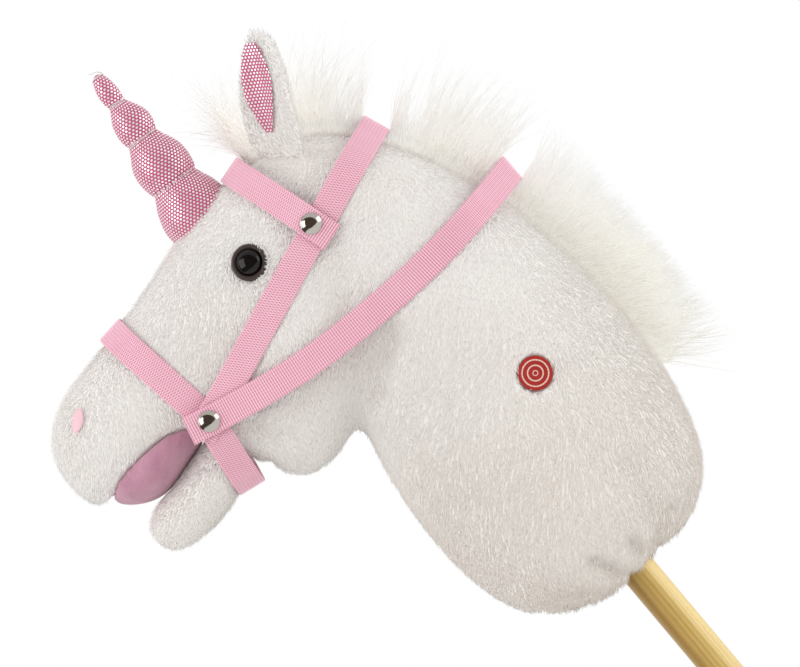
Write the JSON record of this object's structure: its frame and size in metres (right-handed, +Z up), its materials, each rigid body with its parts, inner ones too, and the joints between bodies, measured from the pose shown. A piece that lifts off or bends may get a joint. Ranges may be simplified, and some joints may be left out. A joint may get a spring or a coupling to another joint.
{
  "type": "hobby horse",
  "caption": "Hobby horse on a wooden stick: stuffed plush unicorn head and neck with a horn, a long-pile mane, a webbing bridle with liftable reins, and a press-to-sound patch.",
  "frame": {"origin": "centre of the flat bottom of the stick's rubber foot", "axes": "+Z up along the stick, -X where the head faces, -Y the horse's left side with the press patch"},
  "size_m": [0.3514, 0.1454, 0.9923],
  "materials": {
    "pale_wood": "smooth pale dowel with straight grain, thin clear coat",
    "black_rubber": "matt moulded rubber",
    "white_plush": "short soft white pile",
    "ivory_pile": "long ivory fur pile in locks",
    "pink_jersey": "smooth dusty pink velour",
    "foil_dot_cloth": "pink cloth printed with small silver foil dots",
    "pink_webbing": "woven pink webbing, 18 mm",
    "pink_thread": "satin-stitched pink thread",
    "eye_black": "high-gloss black dome",
    "eye_brown": "glossy dark brown rim",
    "white_nylon": "natural white nylon",
    "nickel": "polished nickel plate",
    "red_embroidery": "red satin stitch with pale rings",
    "case_plastic": "plain moulded white plastic",
    "board_green": "green board lacquer",
    "zinc_steel": "bright zinc-plated steel"
  },
  "bodies": {
    "root": {"stick_dowel": "pale_wood", "stick_foot_cap": "black_rubber", "hem_tie": "white_nylon", "neck_plush": "white_plush", "head_plush": "white_plush", "lower_jaw_plush": "white_plush", "mouth_lining": "pink_jersey", "ear_left": "white_plush", "ear_right": "white_plush", "ear_lining_left": "foil_dot_cloth", "ear_lining_right": "foil_dot_cloth", "horn": "foil_dot_cloth", "mane": "ivory_pile", "forelock": "ivory_pile", "eye_dome_left": "eye_black", "eye_dome_right": "eye_black", "eye_rim_left": "eye_brown", "eye_rim_right": "eye_brown", "eye_washer_left": "white_nylon", "eye_washer_right": "white_nylon", "nostril_left": "pink_thread", "nostril_right": "pink_thread", "noseband": "pink_webbing", "chin_strap": "pink_webbing", "headstall_strap": "pink_webbing", "browband": "pink_webbing", "rivet_lower_cap_left": "nickel", "rivet_lower_cap_right": "nickel", "rivet_upper_cap_left": "nickel", "rivet_upper_cap_right": "nickel", "rivet_lower_back_left": "nickel", "rivet_lower_back_right": "nickel", "rivet_upper_back_left": "nickel", "rivet_upper_back_right": "nickel", "sound_box_front": "case_plastic", "sound_box_back": "case_plastic", "battery_cover": "case_plastic", "circuit_board": "board_green", "speaker": "zinc_steel", "button_cell_1": "zinc_steel", "button_cell_2": "zinc_steel", "button_cell_3": "zinc_steel", "case_screw_1": "zinc_steel", "case_screw_2": "zinc_steel", "cover_screw": "zinc_steel"},
    "sound_button": {"press_patch": "red_embroidery", "push_button": "case_plastic"},
    "reins": {"reins": "pink_webbing"}
  },
  "joints": [
    {"name": "sound_press", "type": "slide", "parent": "root", "child": "sound_button", "axis": [-0.0783, 0.9964, -0.0312], "range_m": [0, 0.002], "stiffness_N_per_m": 200},
    {"name": "rein_lift", "type": "hinge", "parent": "root", "child": "reins", "pos_m": [-0.1395, 0, 0.7874], "axis": [0, -1, 0], "range_deg": [0, 15]}
  ]
}
